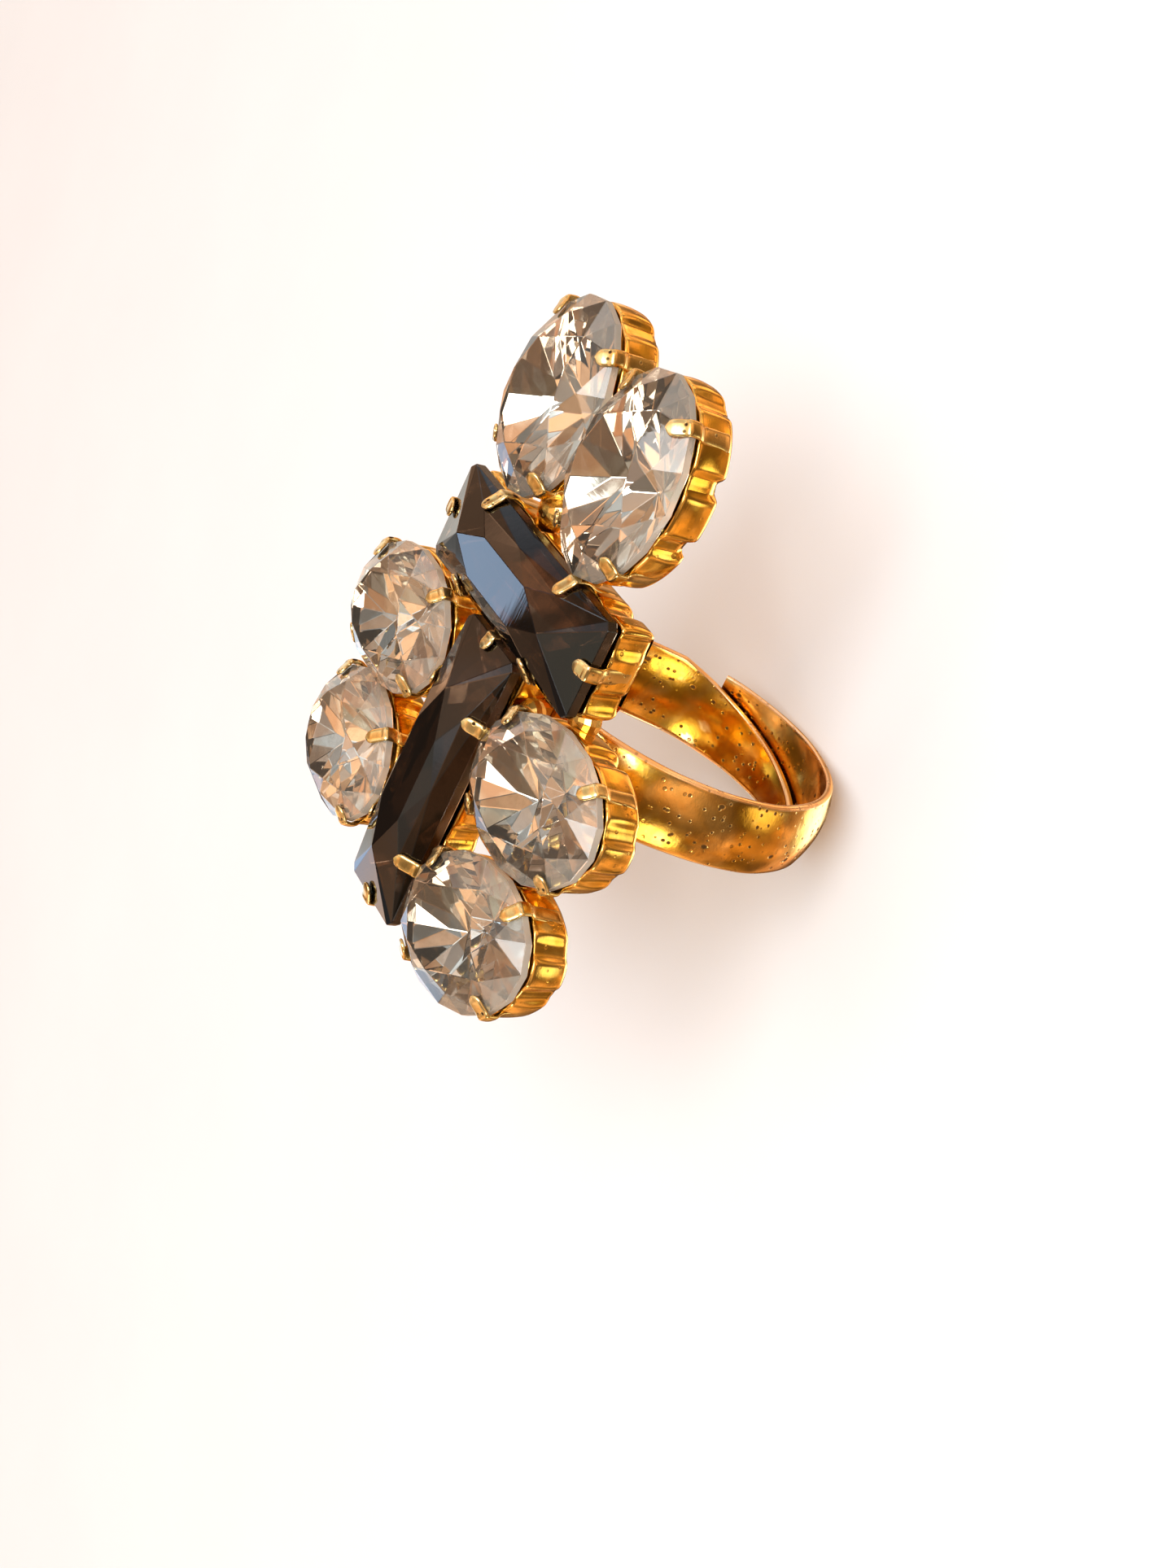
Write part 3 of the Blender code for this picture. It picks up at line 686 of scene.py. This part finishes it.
def prong_part(cut, foot, outward, slope, chance):
    """One strip with a rounded section and tip, as points and faces."""
    top = (OVAL_GIRDLE if cut == "oval" else BAR_GIRDLE) / 2
    lift = PRONG_GAP + PRONG_THICKNESS / 2
    sunk = PRONG_THICKNESS / 2 - 0.12
    over = lift * math.sqrt(1.0 + slope * slope)
    reach = PRONG_OVERLAP + chance.uniform(-0.12, 0.16)
    path = [
        Vector((sunk - CUP_INSET - CUP_TAPER - 0.28, -CUP_DEPTH + 0.50)),
        Vector((sunk - CUP_INSET - CUP_TAPER, -CUP_DEPTH + PRONG_FOOT + CUP_EDGE / 2)),
        Vector((sunk - CUP_INSET + 0.02, rim_height(cut) - 0.25)),
        Vector((lift - 0.02, -top - 0.02)),
        Vector((lift, top)),
        Vector((lift * 0.72, top + lift * 0.95)),
        Vector((-0.12, top + 0.12 * slope + over)),
        Vector((-0.6 * reach, top + 0.6 * reach * slope + over)),
        Vector((-reach, top + reach * slope + over - 0.03)),
    ]
    line = smooth_path(path, 5)
    across = Vector((-outward.y, outward.x, 0.0))
    lean = chance.uniform(-0.12, 0.12)
    width = PRONG_WIDTH * chance.uniform(0.93, 1.05)
    left = [0.0]
    for k in range(len(line) - 1, 0, -1):
        left.append(left[-1] + (line[k] - line[k - 1]).length)
    left = left[::-1]
    points = []
    faces = []
    for k, here in enumerate(line):
        along = (line[min(k + 1, len(line) - 1)] - line[max(k - 1, 0)]).normalized()
        face = Vector((along.y, -along.x))
        near = min(left[k] / (width * 0.55), 1.0)
        share = max(math.sqrt(max(1.0 - (1.0 - near) ** 2, 0.0)), 0.12)
        start = 1.0 + 0.25 * (1.0 - eased(k / len(line), 0.0, 0.3))
        thick = PRONG_THICKNESS * (0.62 + 0.38 * min(near * 1.4, 1.0))
        climb = eased(here.y, -1.0, 1.0)
        for s in range(PRONG_SIDES):
            t = 2 * math.pi * s / PRONG_SIDES
            u = math.copysign(abs(math.cos(t)) ** 0.62, math.cos(t))
            v = math.copysign(abs(math.sin(t)) ** 0.75, math.sin(t))
            spot = here + face * (v * thick / 2)
            shift = across * (u * share * start * width / 2 + lean * climb)
            points.append(tuple(foot + outward * spot.x + Vector((0, 0, spot.y)) + shift))
    for row in range(len(line) - 1):
        for s in range(PRONG_SIDES):
            a = row * PRONG_SIDES + s
            b = row * PRONG_SIDES + (s + 1) % PRONG_SIDES
            faces.append((a, b, b + PRONG_SIDES, a + PRONG_SIDES))
    faces.append(tuple(range(PRONG_SIDES)))
    faces.append(tuple(range(len(points) - PRONG_SIDES, len(points))))
    return points, faces


def cup_piece(name, cut, seed):
    """A bowl and its prongs as one piece."""
    bowl = grooved(cup_body(cut, seed), cut)
    body = bmesh.new()
    body.from_mesh(bowl)
    chance = random.Random(seed + 50)
    for foot, outward, slope in prong_feet(cut):
        points, faces = prong_part(cut, foot, outward, slope, chance)
        made = [body.verts.new(Vector(p) * MM) for p in points]
        fresh = []
        for face in faces:
            new = body.faces.new([made[k] for k in face])
            new.material_index = 1
            fresh.append(new)
        bmesh.ops.recalc_face_normals(body, faces=fresh)
    mesh = bpy.data.meshes.new(name)
    body.to_mesh(mesh)
    body.free()
    piece = add_piece(name, mesh, place_of(name.rsplit("_", 2)[0]), [cup_gilt, prong_gilt])
    mesh.shade_smooth()
    mesh.set_sharp_from_angle(angle=math.radians(50))
    return piece


def band_section(high, low):
    """The strip's section: along its outside, round one rim, back along its inside, round the other."""
    middle = SHANK_THICKNESS / 2
    section = []
    for j in range(STEPS_ACROSS + 1):
        y = low + RIM_ROUND + (high - low - 2 * RIM_ROUND) * j / STEPS_ACROSS
        section.append((y, SHANK_THICKNESS))
    for j in range(1, RIM_STEPS):
        a = math.pi / 2 - math.pi * j / RIM_STEPS
        section.append((high - RIM_ROUND + RIM_ROUND * math.cos(a), middle * (1 + math.sin(a))))
    for j in range(STEPS_ACROSS + 1):
        y = high - RIM_ROUND - (high - low - 2 * RIM_ROUND) * j / STEPS_ACROSS
        section.append((y, 0.0))
    for j in range(1, RIM_STEPS):
        a = -math.pi / 2 - math.pi * j / RIM_STEPS
        section.append((low + RIM_ROUND + RIM_ROUND * math.cos(a), middle * (1 + math.sin(a))))
    return section


def strip(name, start, end, inward, top_edge, narrowing):
    """One arm of the band, with rounded rims and a slightly uneven surface."""
    steps = round(abs(end - start) / 1.5)
    half = SHANK_WIDTH / 2
    points = []
    slots = []
    faces = []
    for k in range(steps + 1):
        theta = start + (end - start) * k / steps
        t = math.radians(theta)
        flat_top = eased(abs(((theta + 90.0) % 360.0) - 180.0), 14.0, 40.0)
        sway = 0.05 * noise.noise(Vector((theta * 0.06, BAND_SEED, 3.0)))
        section = band_section(top_edge(theta), -half + narrowing(theta))
        for y, rise in section:
            dome = SHANK_DOME * flat_top * (1.0 - (y / half) ** 2)
            uneven = 0.045 * noise.noise(Vector((theta * 0.05, y * 0.35, BAND_SEED)))
            out = rise + dome - inward(theta) + uneven
            x = (HOLE_HALF_WIDTH + out) * math.cos(t)
            z = (HOLE_HALF_HEIGHT + out) * math.sin(t)
            points.append(Vector((x, y + sway, z)))
    size = len(section)
    for row in range(steps):
        for j in range(size):
            a = row * size + j
            b = row * size + (j + 1) % size
            faces.append((a, b, b + size, a + size))
            outer = j < STEPS_ACROSS
            inner = STEPS_ACROSS + RIM_STEPS <= j < 2 * STEPS_ACROSS + RIM_STEPS
            # Rims and end caps take the paler gilding, which is a painted highlight
            slots.append(0 if outer or inner else 1)
    faces.append(tuple(range(size)))
    faces.append(tuple(range(len(points) - size, len(points))))
    slots += [1, 1]
    mesh = mesh_of(name, points, faces, slots)
    mesh.transform(turned(-SHANK_LEAN, "X"))
    piece = add_piece(name, mesh, Matrix.Identity(4), [band_gilt, lit_rim_gilt])
    mesh.shade_smooth()
    mesh.set_sharp_from_angle(angle=math.radians(55))
    return piece


# ---- crystals and cups ----

stone_meshes = {"oval": oval_stone(), "bar": bar_stone()}
for number, (name, (cut, *_)) in enumerate(SETTINGS.items()):
    stone = add_piece(name + "_crystal", stone_meshes[cut].copy(), place_of(name), CRYSTAL_LOOKS[cut])
    facet = stone.modifiers.new("facet_edges", "BEVEL")
    facet.width = FACET_BEVEL * MM
    facet.segments = 1
    facet.limit_method = "ANGLE"
    facet.angle_limit = math.radians(2.5)
    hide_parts(name + "_stone")
    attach(stone, "head")
    cup = cup_piece(name + "_cup_gilt", cut, number + 1)
    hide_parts(name + "_cup")
    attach(cup, "head")

# ---- band ----


def nothing(theta):
    return 0.0


def straight(theta):
    return SHANK_WIDTH / 2


def slanted(theta):
    """The inner arm's edge, which slants away to the narrow tip."""
    share = max(0.0, (theta - SLANT_START) / (INNER_ARM_END - SLANT_START))
    return SHANK_WIDTH / 2 - (SHANK_WIDTH - TIP_WIDTH) * share


def narrowed(theta):
    """The outer arm's loss of width, which comes on below the head."""
    return NEAR_ARM_NARROWING * (1.0 - eased(theta, 10.0, 80.0))


def lapped(theta):
    """How far in the inner arm lies, so that it passes inside the outer one."""
    return LAP * eased(theta, INNER_ARM_START, LAP_STEP_END)


outer = strip("band_outer", SEAM, OUTER_ARM_END, nothing, straight, narrowed)
inner = strip("band_inner", SEAM, INNER_ARM_END, lapped, slanted, nothing)
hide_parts("shank_outer_arm")
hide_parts("shank_inner_arm")
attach(outer, "head")
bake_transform(inner)

for name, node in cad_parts.items():
    if name.startswith("solder"):
        node.data.materials.clear()
        node.data.materials.append(solder_gilt)
        node.data.shade_smooth()

# ---- floor, light and camera ----

# Soft patches of the room that the gilding and the crystals mirror: the direction they lie in,
# the angles where they are full and gone, and their colour. Each lies over the ones before it.
MIRRORED = [
    ((0.706, 0.406, 0.58), 8, 20, (0.36, 0.30, 0.25)),
    ((0.73, 0.23, -0.58), 18, 42, (0.17, 0.10, 0.05)),
    ((0.66, 0.12, -0.70), 7, 15, (2.4, 2.1, 1.5)),
    ((-0.55, -0.45, -0.70), 9, 24, (0.12, 0.06, 0.025)),
    ((-0.15, -0.15, -0.97), 9, 19, (4.6, 4.3, 3.3)),
    ((-0.706, -0.406, 0.58), 14, 28, (0.13, 0.085, 0.06)),
    ((-0.104, -0.406, 0.907), 9, 20, (0.82, 0.72, 0.56)),
    ((0.78, -0.42, 0.42), 16, 44, (0.20, 0.12, 0.06)),
    ((-0.80, -0.41, -0.44), 8, 16, (0.06, 0.045, 0.04)),
    ((-0.70, -0.68, -0.20), 8, 13, (1.6, 1.95, 2.4)),
    ((-0.78, -0.62, -0.04), 5, 8, (1.0, 1.3, 1.8)),
    ((-0.7816, -0.3456, 0.518), 1.9, 2.3, (2.4, 3.2, 4.4)),
]
BACKGROUND = (0.90, 0.89, 0.87)
SOFTBOX_DISTANCE = 0.60

# The camera, fitted to the crystals and the band
LENS = 54.1952
CAMERA_RIGHT = Vector((0.4247, 0.4123, -0.8060))
CAMERA_UP = Vector((-0.5665, 0.8155, 0.1186))
CAMERA_BACK = Vector((0.7062, 0.4063, 0.5799))
CAMERA_FROM_HEAD = Vector((115.0, 52.54, 82.22))


def floor():
    body = bmesh.new()
    bmesh.ops.create_grid(body, x_segments=8, y_segments=8, size=1.2)
    mesh = bpy.data.meshes.new("floor")
    body.to_mesh(mesh)
    body.free()
    material, n, shader = new_material("pale_floor")
    place = n.add("ShaderNodeTexCoord").outputs["Object"]
    tone = n.ramp(n.noise(place, 30, 3.0), [(0.3, (0.82, 0.90, 0.96)), (0.7, (0.85, 0.93, 0.99))])
    n.put(shader.inputs["Base Color"], tone)
    shader.inputs["Roughness"].default_value = 0.7
    thing = add_piece("floor", mesh, Matrix.Translation((0, 0, FLOOR_HEIGHT * MM)), [material])
    thing.visible_glossy = False
    thing.visible_transmission = False


floor()

world = bpy.data.worlds.new("studio")
bpy.context.scene.world = world
world.use_nodes = True
sky = Nodes(world.node_tree)
ground = world.node_tree.nodes["Background"]
toward = sky.add("ShaderNodeTexCoord").outputs["Generated"]


def towards(direction):
    """The cosine of the angle to a direction, as 0 to 1."""
    node = sky.add("ShaderNodeVectorMath", operation="DOT_PRODUCT")
    sky.put(node.inputs[0], toward)
    node.inputs[1].default_value = Vector(direction).normalized()
    return sky.maths("ADD", sky.maths("MULTIPLY", node.outputs["Value"], 0.5), 0.5)


def lobe(direction, inner, outer):
    """1 near a direction, fading to 0."""
    low = (1 + math.cos(math.radians(outer))) / 2
    high = (1 + math.cos(math.radians(inner))) / 2
    inside = sky.maths("SUBTRACT", towards(direction), low)
    return sky.maths("MULTIPLY", inside, 1.0 / (high - low), clamp=True)


# Cool sky overhead, warm walls round about and warm ground: what the polished surfaces mirror
dome = sky.ramp(
    towards((-0.50, 0.15, 0.85)),
    [
        (0.0, (0.28, 0.16, 0.07)),
        (0.25, (0.44, 0.27, 0.13)),
        (0.45, (0.64, 0.43, 0.27)),
        (0.62, (0.78, 0.73, 0.64)),
        (0.78, (0.68, 0.72, 0.78)),
        (1.0, (0.86, 0.93, 1.03)),
    ],
)
warm = sky.noise(sky.mapped(toward, turn=(40, 20, 70)), 2.6, 2.0, 0.5)
warm = sky.ramp(warm, [(0.44, 0.0), (0.52, 0.90)])
dome = sky.mix(warm, dome, (1.18, 0.62, 0.31))
patches = sky.noise(toward, 3.6, 2.0, 0.5)
patches = sky.ramp(patches, [(0.38, 0.40), (0.46, 0.80), (0.54, 1.10), (0.59, 2.1)])
dome = sky.mix(1.0, dome, patches, "MULTIPLY")
for direction, full_within, gone_beyond, colour in MIRRORED:
    dome = sky.mix(lobe(direction, full_within, gone_beyond), dome, colour)
seen = sky.add("ShaderNodeLightPath").outputs["Is Camera Ray"]
dome = sky.mix(seen, dome, BACKGROUND)
sky.put(ground.inputs["Color"], dome)
ground.inputs["Strength"].default_value = 1.0


def softbox(name, direction, size, power, colour):
    light = bpy.data.lights.new(name, "AREA")
    light.shape = "DISK"
    light.size = size
    light.energy = power
    light.color = colour
    thing = bpy.data.objects.new(name, light)
    bpy.context.scene.collection.objects.link(thing)
    away = Vector(direction).normalized()
    thing.location = away * SOFTBOX_DISTANCE + Vector((0, 0, 0.01))
    thing.rotation_mode = "QUATERNION"
    thing.rotation_quaternion = away.to_track_quat("Z", "Y")


softbox("overhead", (0.50, 0.35, 0.80), 0.40, 3.0, (0.95, 0.98, 1.0))
softbox("side", (0.75, -0.75, 0.15), 0.24, 0.8, (1.0, 0.97, 0.92))

camera_data = bpy.data.cameras.new("camera")
camera_data.sensor_width = 36.0
camera_data.lens = LENS
camera_data.clip_start = 0.01
camera_data.clip_end = 10.0
camera = bpy.data.objects.new("camera", camera_data)
bpy.context.scene.collection.objects.link(camera)
spot = CAMERA_FROM_HEAD + HEAD
axes = Matrix((CAMERA_RIGHT, CAMERA_UP, CAMERA_BACK)).transposed().to_4x4()
camera.matrix_world = Matrix.Translation(spot * MM) @ axes
bpy.context.scene.camera = camera
bpy.context.scene.view_settings.view_transform = "Standard"
